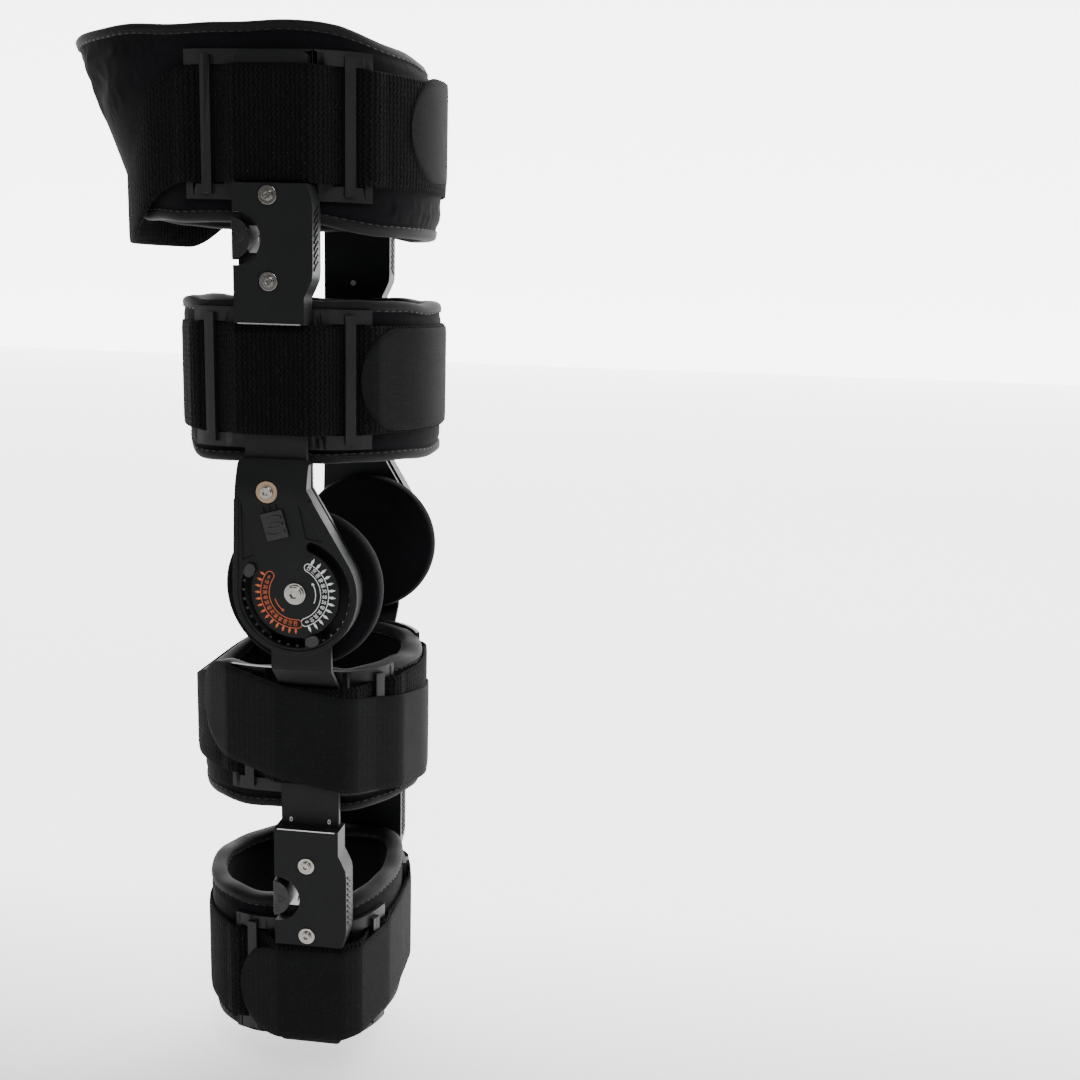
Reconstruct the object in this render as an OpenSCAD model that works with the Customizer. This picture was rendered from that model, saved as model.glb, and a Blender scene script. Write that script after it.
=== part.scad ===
// Hinged knee brace: two telescoping bar units, four strapped cuffs.
// +X is the front of the leg, -Y the outer (lateral) side, +Z up the thigh.
// The origin is on the knee axis, in the middle of the leg.

/* [Overall size] */
// Height of each housing's closed end above or below the knee axis
reach = 235; // [228:1:290]
// Distance from the leg's middle to the inner face of a thigh bar
thigh_half = 64; // [58:1:80]
// How far the calf bars step inwards below the hinge
calf_step = 12; // [0:0.5:15]

/* [Bars] */
// Width of the flat bars
bar_w = 28.6; // [25:0.2:35]
// Thickness of the flat bars
bar_t = 3; // [2.4:0.1:3.6]
// How far the thigh bar sits behind the knee axis
thigh_back = 11; // [8:0.5:13]
// Travel of each telescoping housing
travel = 70; // [50:10:70]
// Distance between the latch notches in a bar
notch_pitch = 10; // [8:1:14]

/* [Housings] */
// Length of a housing, mouth to closed end
housing_len = 115; // [110:1:120]
// Height of the housing's face over the bar's inner face
housing_h = 10; // [9:0.5:12]
// Side wall of a housing
housing_wall = 1.45; // [1.2:0.05:2]
// Travel of a release button
button_travel = 2.5; // [2:0.1:3]

/* [Hinge] */
// Radius of the round end of the hinge cover
hinge_r = 29; // [28:0.5:35]
// Radius of the pivot screw
pivot_r = 3; // [2.5:0.1:3.6]
// Radius of the dial slots in which the stops run
slot_r = 23; // [22.5:0.1:24.2]
// Radius of the round head of a calf bar
head_r = 25; // [23:0.5:26]
// Travel of the quick lock towards the pivot
lock_travel = 3; // [2:0.5:4]

/* [Cuffs] */
// Thickness of the foam pads
pad_t = 8; // [6:0.5:12]
// Thickness of the flexible cuff plates
plate_t = 2; // [1.6:0.1:2.6]
// Width of the straps
strap_w = 48; // [40:1:50]
// Thickness of the straps
strap_t = 1.6; // [1.2:0.1:2]
// Radius of the round pads beside the knee
condyle_r = 36; // [30:1:37]

/* [Hidden] */
sides = ["lateral", "medial"];

round_fn = 96;
small_fn = 40;
eps = 0.01;

// Colours
shell_black = [0.12, 0.12, 0.125];
bar_black = [0.15, 0.15, 0.15];
foam_black = [0.03, 0.03, 0.035];
strap_black = [0.06, 0.06, 0.065];
steel = [0.75, 0.75, 0.74];
tan_metal = [0.72, 0.6, 0.45];

// Levels are heights over the inner face of the bar, outwards from the leg.
slide_gap = 0.15;
head_gap = 0.15;
mouth = reach - housing_len;
calf_half = thigh_half - calf_step;
calf_bar_t = bar_t - 2 * head_gap;
bar_end = reach - 4;
step_from = condyle_r + 2.5;
step_to = step_from + 11.5;

// Housing, measured from its mouth
screw_near = 18.5;
screw_far = 55;
button_z = 36.5;
thick_len = 60;
bulge = 4;
housing_half = bar_w / 2 + slide_gap + housing_wall;
back_t = 1.85;
back_low = -slide_gap - back_t;
channel_top = bar_t + slide_gap;
sleeve_h = channel_top + 1.65;
cutout_r = 11.3;
cutout_inset = 1.2;
button_r = 9.2;
button_depth = 8;
button_proud = 0.5;
latch_low = channel_top + 0.15;
latch_t = 1;
latch_top = latch_low + latch_t;
latch_half = 6;
tooth_half = 2;
tooth_t = 1.2;
tooth_gap = 0.2;
notch_depth = 2;
screw_r = 1.5;
eyelet_r = 2.3;
eyelet_flange_r = 4.1;
eyelet_t = 0.8;
screw_head_r = 2.5;
screw_head_h = 1.4;
spring_r = 1.5;
spring_wire = 0.3;

// Hinge
cover_low = bar_t;
cover_face = bar_t + 8;
face_t = 2.4;
rim_h = 0.8;
rim_w = 2.3;
cover_wall = 2.4;
cavity_r = hinge_r - cover_wall;
neck_half = bar_w / 2 + 2.2;
neck_top = 60.5;
neck_shoulder = 47.5;
neck_screw_z = 45.8;
neck_screw_x = -thigh_back - 2;
bar_start = hinge_r + 4;
back_plate_t = 2.5;
running_gap = 0.05;
neck_seat = cover_face - 1.4;
bush_r = 5;
boss_r = 6.5;
slot_half = 2.4;
flexion_start = 154;
flexion_end = 277;
extension_start = -68.6;
extension_end = 70;
lock_x = -8.8;
lock_z = 31.2;
lock_tilt = atan2(-lock_x, lock_z);
lock_r = norm([lock_x, lock_z]);

// Cuffs
pad_gap = 0.2;
body_gap = 0.4;
plate_half_len = 41.5;
post_from = 28.8;
post_to = 33.2;
slot_in = 24;
slot_out = 38.2;
post_lift = 2.3;
window_h = strap_w + 2;
plate_h = 63;
rivet_r = 2;
rivet_head_r = 3.5;
rivet_head_h = 1;

// Every cuff is a row of values: [low z, high z, strap middle z, back x, front x,
// bar's x, half width of the pad, height of the fixing boss, lift of the strap
// over what it crosses, flat behind the bar's middle].
function pad_half(bar_in) = bar_in - slide_gap - back_t - body_gap - plate_t - pad_gap;
bar_boss = body_gap + back_t + slide_gap;
over_bar = bar_t + rivet_head_h;
far_z = reach - 30;
thigh_z = mouth - 0.5 - strap_w / 2;
calf_z = -step_to - 1 - strap_w / 2;
CUFF_UPPER_THIGH = [far_z - 42, far_z + 44, far_z, -122, 47, -thigh_back,
    pad_half(thigh_half), body_gap, sleeve_h - back_low, 26];
CUFF_LOWER_THIGH = [thigh_z - 39.5, thigh_z + 35.5, thigh_z, -75, 46, -thigh_back,
    pad_half(thigh_half), bar_boss, over_bar, 22];
CUFF_UPPER_CALF = [calf_z - 41, calf_z + 32, calf_z, -73, 38, 0,
    pad_half(calf_half), bar_boss + head_gap, over_bar, 24];
CUFF_LOWER_CALF = [-far_z - 34, -far_z + 42, -far_z, -70, 30, 0,
    pad_half(calf_half), body_gap, sleeve_h - back_low, 24];

// ---------- helpers ----------

function arc(cx, cy, r, from, to, n) =
    [for (i = [0 : n]) let (a = from + (to - from) * i / n) [cx + r * cos(a), cy + r * sin(a)]];

// Draws the lateral side as it is and the medial side as its mirror image.
module on_side(side) {
    if (side == "medial") mirror([0, 1, 0]) children();
    else children();
}

module both_sides() {
    for (side = sides) on_side(side) children();
}

// Places what is drawn over a thigh bar, a calf bar or in a housing.
module at_hinge() translate([0, -thigh_half, 0]) children();
module at_upper() translate([-thigh_back, -thigh_half, mouth]) children();
module at_lower() translate([0, -calf_half, -mouth]) mirror([0, 0, 1]) children();

// A flat shape in the XZ plane, made solid between two levels.
module slab(low, high) {
    translate([0, -low, 0]) rotate([90, 0, 0]) linear_extrude(high - low) children();
}

// A round pin or hole along Y between two levels.
module pin(x, z, r, low, high, fn = small_fn) {
    translate([x, -low, z]) rotate([90, 0, 0]) cylinder(h = high - low, r = r, $fn = fn);
}

// ---------- bars ----------

// Notches for the latch tooth, in the front edge.
module bar_notches(x) {
    for (i = [0 : floor(travel / notch_pitch)]) {
        z = mouth + button_z + i * notch_pitch;
        translate([x + bar_w / 2 - notch_depth, z - tooth_half - 0.3])
            square([notch_depth + 1, 2 * tooth_half + 0.6]);
    }
}

// The end that telescopes: open slot for the eyelets, latch notches.
module telescoping_end(x, from) {
    slot_from = mouth + screw_near;
    slot = eyelet_r + 0.3;
    difference() {
        union() {
            translate([x - bar_w / 2, from]) square([bar_w, bar_end - from - 3]);
            translate([x - bar_w / 2 + 3, from]) square([bar_w - 6, bar_end - from]);
            for (s = [-1, 1]) translate([x + s * (bar_w / 2 - 3), bar_end - 3]) circle(3, $fn = small_fn);
        }
        translate([x - slot, slot_from]) square([2 * slot, bar_end]);
        translate([x, slot_from]) circle(slot, $fn = small_fn);
        bar_notches(x);
    }
}

module thigh_bar(side) {
    color(bar_black) on_side(side) at_hinge() difference() {
        slab(0, bar_t) telescoping_end(-thigh_back, bar_start);
        pin(neck_screw_x, neck_screw_z, screw_r + 0.1, -1, bar_t + 1);
        for (z = rivet_places(CUFF_LOWER_THIGH)) pin(-thigh_back, z, rivet_r, -1, bar_t + 1);
    }
}

module calf_bar(side) {
    low = head_gap;
    high = head_gap + calf_bar_t;
    color(bar_black) on_side(side) {
        at_hinge() difference() {
            union() {
                slab(low, high) difference() {
                    circle(head_r, $fn = round_fn);
                    for (a = [0 : 10 : 30]) rotate(90 + lock_tilt + a)
                        translate([head_r - lock_travel, -2.8]) square([lock_travel + 1, 5.6]);
                }
                slab(low, high) translate([-bar_w / 2, -step_from]) square([bar_w, step_from]);
                translate([-bar_w / 2, 0, 0]) rotate([90, 0, 90]) linear_extrude(bar_w)
                    polygon([
                        [-low, -step_from + eps], [-high, -step_from + eps],
                        [-high + calf_step, -step_to - eps], [-low + calf_step, -step_to - eps]
                    ]);
            }
            pin(0, 0, bush_r, -1, bar_t + 1, round_fn);
        }
        translate([0, -calf_half, 0]) difference() {
            slab(low, high) mirror([0, 1]) telescoping_end(0, step_to);
            for (z = rivet_places(CUFF_UPPER_CALF)) pin(0, z, rivet_r, -1, bar_t + 1);
        }
    }
}

// ---------- hinge ----------

// The tangent from a point outside a circle touches it at this angle.
function tangent_angle(p, r, turn) = atan2(p[1], p[0]) + turn * acos(r / norm(p));

// Teardrop outline of the hinge, drawn in by d.
module teardrop(d) {
    r = hinge_r - d;
    back = [-thigh_back - neck_half + d, neck_top - d];
    shoulder = [-thigh_back + neck_half - d, neck_shoulder];
    ta = tangent_angle(back, r, 1);
    tb = tangent_angle(shoulder, r, -1);
    polygon(concat(
        arc(0, 0, r, ta, tb + 360, 64),
        [shoulder, [shoulder[0], neck_top - d - 2], [shoulder[0] - 2, neck_top - d],
            [back[0] + 2, back[1]], [back[0], back[1] - 2]]
    ));
}

// An arc slot with round ends.
module arc_slot(from, to, r, half) {
    wide = 2 * r;
    intersection() {
        difference() {
            circle(r + half, $fn = round_fn);
            circle(r - half, $fn = round_fn);
        }
        polygon(concat([[0, 0]], arc(0, 0, wide, from, to, 4)));
    }
    for (a = [from, to]) translate([r * cos(a), r * sin(a)]) circle(half, $fn = small_fn);
}

// Cuts the top of the cover down in an arc so that it meets the bar.
module neck_slope() {
    sink = 5;
    run = neck_top - neck_shoulder + 5;
    top = cover_face + rim_h + 5;
    translate([-60, 0, 0]) rotate([90, 0, 90]) linear_extrude(120) polygon(concat(
        [[-top, neck_top - run]],
        [for (i = [0 : 8]) let (t = i / 8)
            [-(cover_face - sink * t * t), neck_top - run + run * t]],
        [[-(cover_face - sink), neck_top + 5], [-top, neck_top + 5]]
    ));
}

// A rectangle that lies along the line from the pivot to the lock.
module lock_box(w, from, to) {
    rotate(lock_tilt) translate([-w / 2, from]) square([w, to - from]);
}

module hinge_cover(side) {
    color(shell_black) on_side(side) at_hinge() difference() {
        union() {
            slab(cover_low, cover_face) teardrop(0);
            slab(cover_face - eps, cover_face + rim_h) difference() {
                teardrop(0);
                teardrop(rim_w);
                translate([-50, neck_shoulder - 4]) square([100, 40]);
            }
        }
        slab(cover_low - 1, cover_face - face_t) difference() {
            circle(cavity_r, $fn = round_fn);
            circle(boss_r, $fn = round_fn);
        }
        slab(cover_low - 1, cover_face - face_t) lock_box(9, boss_r + 10, lock_r + 9);
        slab(cover_low, cover_face + 2) {
            arc_slot(flexion_start, flexion_end, slot_r, slot_half);
            arc_slot(extension_start, extension_end, slot_r, slot_half);
            lock_box(5.4, lock_r - 3.2 - lock_travel, lock_r + 3.2);
        }
        // Shallow pockets beside the neck
        slab(cover_face - 0.8, cover_face + 2) {
            polygon([[-thigh_back - 13.8, 40], [-thigh_back - 13.4, 14.4], [-thigh_back - 7.8, 17]]);
            polygon([[-thigh_back + 12.8, 40.4], [-thigh_back + 16.2, 25.6], [-thigh_back + 24, 24.4]]);
        }
        // Grooves above the quick lock
        slab(cover_face - 0.6, cover_face + 2)
            for (x = [-3, 0, 3]) rotate(lock_tilt) translate([x - 0.4, lock_r + 6.6]) square([0.8, 2.6]);
        neck_slope();
        pin(0, 0, pivot_r + running_gap, 0, cover_face + 2, round_fn);
        pin(neck_screw_x, neck_screw_z, screw_r + 0.1, 0, cover_face + 2);
        pin(neck_screw_x, neck_screw_z, 5.2, neck_seat, cover_face + 2);
    }
}

module hinge_back_plate(side) {
    color(shell_black) on_side(side) at_hinge() difference() {
        slab(-back_plate_t, 0) teardrop(0.6);
        pin(0, 0, pivot_r + running_gap, -back_plate_t - 1, 1, round_fn);
        pin(0, 0, bush_r + 0.2, -back_plate_t - 1, -back_plate_t + 1.1);
        pin(neck_screw_x, neck_screw_z, screw_r + 0.1, -back_plate_t - 1, 1);
    }
}

// Open ring with a tooth every ten degrees, under the edges of the dial slots.
module stop_rings() {
    top = cover_face - face_t;
    from = flexion_start - 6;
    to = extension_end + 366;
    wide = 2 * cavity_r;
    teeth_r = slot_r + slot_half - 0.7;
    color(steel) both_sides() at_hinge() slab(top - 1, top) {
        intersection() {
            difference() {
                circle(cavity_r, $fn = round_fn);
                circle(cavity_r - 0.4, $fn = round_fn);
            }
            polygon(concat([[0, 0]], arc(0, 0, wide, from, to, 12)));
        }
        for (a = [from + 2 : 10 : to]) rotate(a) translate([teeth_r, -0.5])
            square([cavity_r - 0.2 - teeth_r, 1]);
    }
}

// A button-head screw with a hexagon socket.
module socket_screw(x, z, low, seat, r, head_r, head_h) {
    difference() {
        union() {
            pin(x, z, r, low, seat + eps);
            pin(x, z, head_r, seat, seat + head_h * 0.6);
            pin(x, z, head_r * 0.82, seat + head_h * 0.6 - eps, seat + head_h);
        }
        pin(x, z, head_r * 0.45, seat + head_h * 0.35, seat + head_h + 1, 6);
    }
}

module pivot_screws() {
    color(steel) both_sides() at_hinge() {
        socket_screw(0, 0, -back_plate_t, cover_face + 0.5, pivot_r, 4.2, 1.8);
        pin(0, 0, bush_r, -back_plate_t, -back_plate_t + 1, round_fn);
        difference() {
            pin(0, 0, bush_r, cover_face, cover_face + 0.5 + eps, round_fn);
            pin(0, 0, pivot_r, cover_face - 1, cover_face + 1);
        }
    }
}

module pivot_bushes() {
    color(tan_metal) both_sides() at_hinge() difference() {
        pin(0, 0, bush_r, head_gap, head_gap + calf_bar_t, round_fn);
        pin(0, 0, pivot_r + running_gap, 0, bar_t, round_fn);
    }
}

module neck_screws() {
    color(steel) both_sides() at_hinge()
        socket_screw(neck_screw_x, neck_screw_z, -back_plate_t, neck_seat + 0.8, screw_r, 3, 1.6);
}

module neck_washers() {
    color(tan_metal) both_sides() at_hinge() difference() {
        pin(neck_screw_x, neck_screw_z, 5, neck_seat, neck_seat + 0.8);
        pin(neck_screw_x, neck_screw_z, screw_r + 0.1, neck_seat - 1, neck_seat + 2);
    }
}

module condyle_pads() {
    color(foam_black) both_sides() at_hinge()
        pin(-1, -1, condyle_r, -back_plate_t - 10, -back_plate_t, round_fn);
}

// A stop: knob over the dial, neck in the slot, carrier and pin under the face.
module stop_slider(side, at_angle) {
    under = cover_face - face_t;
    color(shell_black) on_side(side) at_hinge() rotate([0, -at_angle, 0]) {
        slab(cover_face + 0.1, cover_face + 1.9) {
            translate([slot_r - 2.4, -0.9]) square([4.8, 1.8]);
            for (s = [-1, 1]) translate([slot_r, s * 0.9]) circle(2.4, $fn = small_fn);
        }
        slab(under - 1.5, cover_face + 0.2) translate([slot_r - 1.6, -1.6]) square([2.9, 3.2]);
        slab(under - 3.2, under - 1.4) translate([slot_r - 2.8, -3]) square([5, 6]);
        pin(slot_r, 0, 1.2, bar_t + 0.3, under - 3);
    }
}

module quick_lock(side) {
    under = cover_face - face_t;
    color(shell_black) on_side(side) at_hinge() {
        slab(cover_face + 0.1, cover_face + 1.4) lock_box(10.3, lock_r - 6.3, lock_r + 6.3);
        // Arched thumb ridges above, hollow ridges below
        for (k = [0 : 3]) slab(cover_face + 1.4 - eps, cover_face + 2.1)
            intersection() {
                lock_box(8, lock_r - 5.8, lock_r + 5.8);
                rotate(lock_tilt) translate([0, lock_r + 4.6 - 3.1 * k + (k < 2 ? -9 : 9)])
                    difference() {
                        circle(9, $fn = small_fn);
                        circle(8, $fn = small_fn);
                    }
                rotate(lock_tilt) translate([-6, lock_r + 4.6 - 3.1 * k - (k < 2 ? 2 : 0)])
                    square([12, 2]);
            }
        slab(under - 0.2, cover_face + 0.2) lock_box(5, lock_r - 3, lock_r + 3);
        slab(under - 2, under - 0.1) lock_box(8, lock_r - 5, lock_r + 5);
        slab(bar_t + 0.3, under - 1.9) lock_box(5, head_r + 0.6, lock_r + 3);
    }
}

// ---------- housings ----------

// Outline of the thick part, with its bulge towards the front.
module thick_outline() {
    h = housing_half;
    b = h + bulge;
    polygon([
        [-h, 0], [h, 0], [h, 12], [h + 0.4 * bulge, 15], [b - 0.4, 19.5], [b, 23],
        [b, 50], [b - 0.5, 54], [h + 0.5 * bulge, thick_len - 0.6], [h + 0.45 * bulge, thick_len],
        [-h, thick_len]
    ]);
}

module sleeve_outline() {
    h = housing_half;
    polygon(concat([[-h, 0], [h, 0]], arc(h - 3, housing_len - 3, 3, 0, 90, 6),
        arc(-h + 3, housing_len - 3, 3, 90, 180, 6)));
}

module cutout() {
    translate([-housing_half + cutout_inset, button_z]) circle(cutout_r, $fn = round_fn);
    translate([-housing_half - 2, button_z - cutout_r]) square([2 + cutout_inset, 2 * cutout_r]);
}

// Diagonal grip ribs on the front wall of the bulge.
module grip_ribs() {
    for (i = [0 : 8]) translate([housing_half + bulge - 0.5, -housing_h / 2, 25.5 + 2.9 * i])
        rotate([35, 0, 0]) translate([0, -3.2, -0.5]) cube([1, 6.4, 1]);
}

module housing() {
    half = bar_w / 2 + slide_gap;
    difference() {
        union() {
            slab(-slide_gap, sleeve_h) sleeve_outline();
            slab(-slide_gap, housing_h) thick_outline();
            grip_ribs();
        }
        // Channel for the bar
        slab(-1, channel_top) translate([-half, -1]) square([2 * half, housing_len - 1.4]);
        // Latch plate and its tooth
        slab(channel_top - eps, latch_top + 0.2)
            translate([-half, button_z - latch_half - 0.3])
                square([2 * half + button_travel + tooth_t + 0.4, 2 * latch_half + 0.6]);
        slab(-1, latch_top + 0.2) translate([0, button_z - tooth_half - 0.4])
            square([half + button_travel + tooth_t + 0.4, 2 * tooth_half + 0.8]);
        // Release button and its spring
        slab(channel_top - eps, housing_h + 1) cutout();
        translate([-housing_half, -spring_level, button_z]) rotate([0, 90, 0])
            cylinder(h = spring_to + housing_half, r = spring_r + spring_wire + 0.3, $fn = small_fn);
        for (z = [screw_near, screw_far]) {
            pin(0, z, eyelet_r + 0.1, 0, housing_h + 1);
            pin(0, z, eyelet_flange_r + 0.5, housing_h - 0.6, housing_h + 1);
        }
    }
}

button_in = -housing_half - button_proud + button_depth;
button_top = housing_h - 0.4;
spring_level = (latch_top + button_top) / 2;
spring_from = button_in + button_travel + 0.3;
spring_to = spring_from + 7;

module back_shell() {
    difference() {
        slab(back_low, -slide_gap) {
            sleeve_outline();
            thick_outline();
        }
        for (z = [screw_near, screw_far]) pin(0, z, screw_r, -5, 1);
    }
}

module eyelets() {
    for (z = [screw_near, screw_far]) difference() {
        union() {
            pin(0, z, eyelet_r, -slide_gap, housing_h - 0.3);
            pin(0, z, eyelet_flange_r, housing_h - 0.6, housing_h - 0.6 + eyelet_t);
        }
        pin(0, z, screw_r + 0.1, -1, housing_h + 2);
    }
}

module housing_screws() {
    seat = housing_h - 0.6 + eyelet_t;
    socket_screw(0, screw_near, back_low, seat, screw_r, screw_head_r, screw_head_h);
    socket_screw(0, screw_far, back_low - body_gap - plate_t, seat, screw_r, screw_head_r, screw_head_h);
}

// D-shaped button with a ribbed edge and a small arrow.
module button() {
    centre = button_in - button_r;
    edge = -housing_half - button_proud;
    difference() {
        union() {
            slab(latch_top, button_top) intersection() {
                translate([centre, button_z]) circle(button_r, $fn = round_fn);
                translate([edge, button_z - button_r]) square([button_depth, 2 * button_r]);
            }
            for (i = [-6 : 6]) translate([edge - 0.5, -button_top + 0.6, button_z + i * 1.25 - 0.3])
                cube([0.6, button_top - latch_top - 1.2, 0.6]);
        }
        slab(button_top - 0.3, button_top + 1) translate([edge + 3.6, button_z]) difference() {
            circle(2.4, $fn = 3);
            circle(1.7, $fn = 3);
        }
    }
}

module latch_plate() {
    tooth_x = bar_w / 2 + tooth_gap;
    slab(latch_low, latch_top) {
        translate([button_in - 5, button_z - latch_half])
            square([tooth_x - button_in + 5, 2 * latch_half]);
        translate([0, button_z - tooth_half]) square([tooth_x + tooth_t, 2 * tooth_half]);
    }
    slab(0.3, latch_low + eps) translate([tooth_x, button_z - tooth_half])
        square([tooth_t, 2 * tooth_half]);
}

// Coil spring: rings of points along a helix.
module coil(length, r, wire, turns) {
    steps = 12;
    n = turns * steps;
    ring = 6;
    points = [for (i = [0 : n], k = [0 : ring - 1]) let (a = i * 360 / steps, b = k * 360 / ring)
        [wire + (length - 2 * wire) * i / n + wire * sin(b),
         (r + wire * cos(b)) * cos(a), (r + wire * cos(b)) * sin(a)]];
    quads = [for (i = [0 : n - 1], k = [0 : ring - 1]) let (m = (k + 1) % ring)
        [i * ring + k, i * ring + m, (i + 1) * ring + m, (i + 1) * ring + k]];
    caps = [[for (k = [ring - 1 : -1 : 0]) k], [for (k = [0 : ring - 1]) n * ring + k]];
    polyhedron(points, concat(quads, caps), convexity = 8);
}

module latch_spring() {
    translate([spring_from, -spring_level, button_z])
        coil(spring_to - spring_from - 0.1, spring_r, spring_wire, 5);
}

// ---------- cuffs ----------

// Outline of a cuff: flat beside the bar, elliptic front and back. Each sample is
// [x, y, outward normal x, outward normal y]; the first is beside the bar.
flat_front = 10;
function quarter(cx, ax, b, from, to, n) =
    [for (i = [0 : n]) let (a = from + (to - from) * i / n, s = norm([b * cos(a), ax * sin(a)]))
        [cx + ax * cos(a), b * sin(a), b * cos(a) / s, ax * sin(a) / s]];
function cuff_samples(c) = let (f0 = c[5] - c[9], f1 = c[5] + flat_front, b = c[6])
    concat([[c[5], -b, 0, -1]], quarter(f1, c[4] - f1, b, -90, 90, 24), [[c[5], b, 0, 1]],
        quarter(f0, f0 - c[3], b, 90, 270, 28), [[c[5], -b, 0, -1]]);
function lengths(p) = [for (i = 0, s = 0; i < len(p);
    i = i + 1, s = s + (i < len(p) ? norm([p[i][0] - p[i - 1][0], p[i][1] - p[i - 1][1]]) : 0)) s];
function column(keys, p, j) = [for (i = [0 : len(p) - 1]) [keys[i] + i * 1e-6, p[i][j]]];

// A cuff's tables: position and normal by distance along the outline.
function cuff_table(c) = let (p = cuff_samples(c), k = lengths(p))
    [k[len(k) - 1], for (j = [0 : 3]) column(k, p, j), k[26]];
function wrap(s, total) = s < 0 ? s + total : (s >= total ? s - total : s);
function on_cuff(t, s, d) = let (w = wrap(s, t[0]))
    [lookup(w, t[1]) + d * lookup(w, t[3]), lookup(w, t[2]) + d * lookup(w, t[4])];

// The wedge behind the knee that the cuffs leave free when the knee is bent.
fold_up = 42.6;
fold_down = 38;
module fold_wedge() {
    w = 200;
    translate([0, w / 2, 0]) rotate([90, 0, 0]) linear_extrude(w)
        polygon([[0, 0], [-w, w * tan(fold_up)], [-w, -w * tan(fold_down)]]);
}

// Outline of a cuff at distance d, as a closed polygon.
module cuff_ring(t, d) {
    n = 110;
    polygon([for (i = [0 : n - 1]) on_cuff(t, t[0] * i / n, d)]);
}

module cuff_pad(c) {
    t = cuff_table(c);
    color(foam_black) difference() {
        translate([0, 0, c[0]]) linear_extrude(c[1] - c[0]) difference() {
            cuff_ring(t, 0);
            cuff_ring(t, -pad_t);
        }
        fold_wedge();
    }
}

// A curved strip of the plate between two distances along the cuff.
module strip(t, from, to, low, high, n = 8) {
    polygon(concat(
        [for (i = [0 : n]) on_cuff(t, from + (to - from) * i / n, low)],
        [for (i = [n : -1 : 0]) on_cuff(t, from + (to - from) * i / n, high)]
    ));
}

function rivet_places(c) = [c[2] - 15, c[2] + 15];

// Cuff plate: a curved sheet with two slots and a raised post at each end.
module cuff_plate(c, side) {
    t = cuff_table(c);
    mid = c[2];
    in = pad_gap;
    out = pad_gap + plate_t;
    post_out = out + post_lift;
    z0 = mid - plate_h / 2;
    w0 = mid - window_h / 2;
    rim = (plate_h - window_h) / 2;
    color(shell_black) on_side(side) difference() {
        union() {
            // Strips above and below the slots
            for (z = [z0, w0 + window_h]) translate([0, 0, z]) linear_extrude(rim)
                strip(t, -plate_half_len, plate_half_len, in, out, 36);
            // Middle sheet and the two end strips
            translate([0, 0, z0 + 1]) linear_extrude(plate_h - 2) {
                strip(t, -slot_in, slot_in, in, out, 24);
                for (s = [-1, 1]) strip(t, s * slot_out, s * plate_half_len, in, out, 3);
            }
            // Posts, standing clear of the strap
            for (s = [-1, 1]) {
                translate([0, 0, w0 - 4]) linear_extrude(window_h + 8)
                    strip(t, s * post_from, s * post_to, out + post_lift - plate_t, post_out, 3);
                for (z = [w0 - 4, w0 + window_h]) translate([0, 0, z]) linear_extrude(4)
                    strip(t, s * post_from, s * post_to, in + 0.5, post_out, 3);
            }
            // Boss that the bar or housing is fixed to, and a tab round the far screw
            translate([c[5] - 12, -c[6] - out - c[7], mid - 20]) cube([24, c[7] + 0.5, 40]);
            if (c[7] == body_gap)
                translate([c[5] - 7, -c[6] - out - c[7], sign(mid) * (mouth + screw_far) - 5])
                    cube([14, plate_t + c[7], 10]);
        }
        if (c[7] > body_gap)
            for (z = rivet_places(c))
                translate([c[5], -c[6] + 5, z]) rotate([90, 0, 0])
                    cylinder(h = 20, r = rivet_r, $fn = small_fn);
        translate([c[5], -c[6] + 5, sign(mid) * (mouth + screw_far)]) rotate([90, 0, 0])
            cylinder(h = 20, r = screw_r, $fn = small_fn);
    }
}

// Rivets through bar and plate.
module rivets(c, bar_in, head_at) {
    for (z = rivet_places(c)) translate([0, -bar_in, 0]) {
        pin(c[5], z, rivet_r, -(bar_in - c[6] - pad_gap), head_at + eps);
        pin(c[5], z, rivet_head_r, head_at, head_at + rivet_head_h);
    }
}

// Height of the strap over the pad, by distance from the bar: over the bar or
// sleeve, down through a slot, behind the post, up through the next slot and
// over the end of the plate.
function strap_lift(c, d) = let (
        over = pad_gap + plate_t + c[7] + c[8] + slide_gap + 0.3,
        end = pad_gap + plate_t + 0.3)
    lookup(d, [[housing_half + 1, over], [slot_in - 0.2, end + 0.3], [post_from - 0.3, 0.25],
        [post_to + 0.3, 0.25], [slot_out - 0.2, end], [plate_half_len + 0.6, end],
        [plate_half_len + 5, 0.5]]);

function strap_distance(t, s) = min(abs(s), abs(t[0] - s), abs(s - t[5]));

// Stations along the strap: close together near the bars, wide elsewhere.
function strap_stations(t) = let (
        near = [0, 8, housing_half + 1, slot_in - 0.2, 26.2, post_from - 0.3, 31, post_to + 0.3,
            35.8, slot_out - 0.2, 40, plate_half_len + 0.6, plate_half_len + 5],
        last = near[len(near) - 1],
        front_gap = t[5] - 2 * last,
        back_gap = t[0] - t[5] - 2 * last)
    concat(
        [for (d = near) d],
        [for (i = [1 : 17]) last + front_gap * i / 18],
        [for (i = [len(near) - 1 : -1 : 0]) t[5] - near[i]],
        [for (i = [1 : len(near) - 1]) t[5] + near[i]],
        [for (i = [1 : 31]) t[5] + last + back_gap * i / 32],
        [for (i = [len(near) - 1 : -1 : 1]) t[0] - near[i]]
    );

// Over a bar or housing the strap keeps level, whatever the outline does below it.
function strap_point(c, t, s, up) = let (d = strap_distance(t, s), y = c[6] + strap_lift(c, d) + up)
    d > housing_half + 1.01 ? on_cuff(t, s, y - c[6])
    : abs(s - t[5]) < d + 0.01 ? [c[5] - (s - t[5]), y] : [c[5] + (s < t[5] ? s : s - t[0]), -y];

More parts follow.
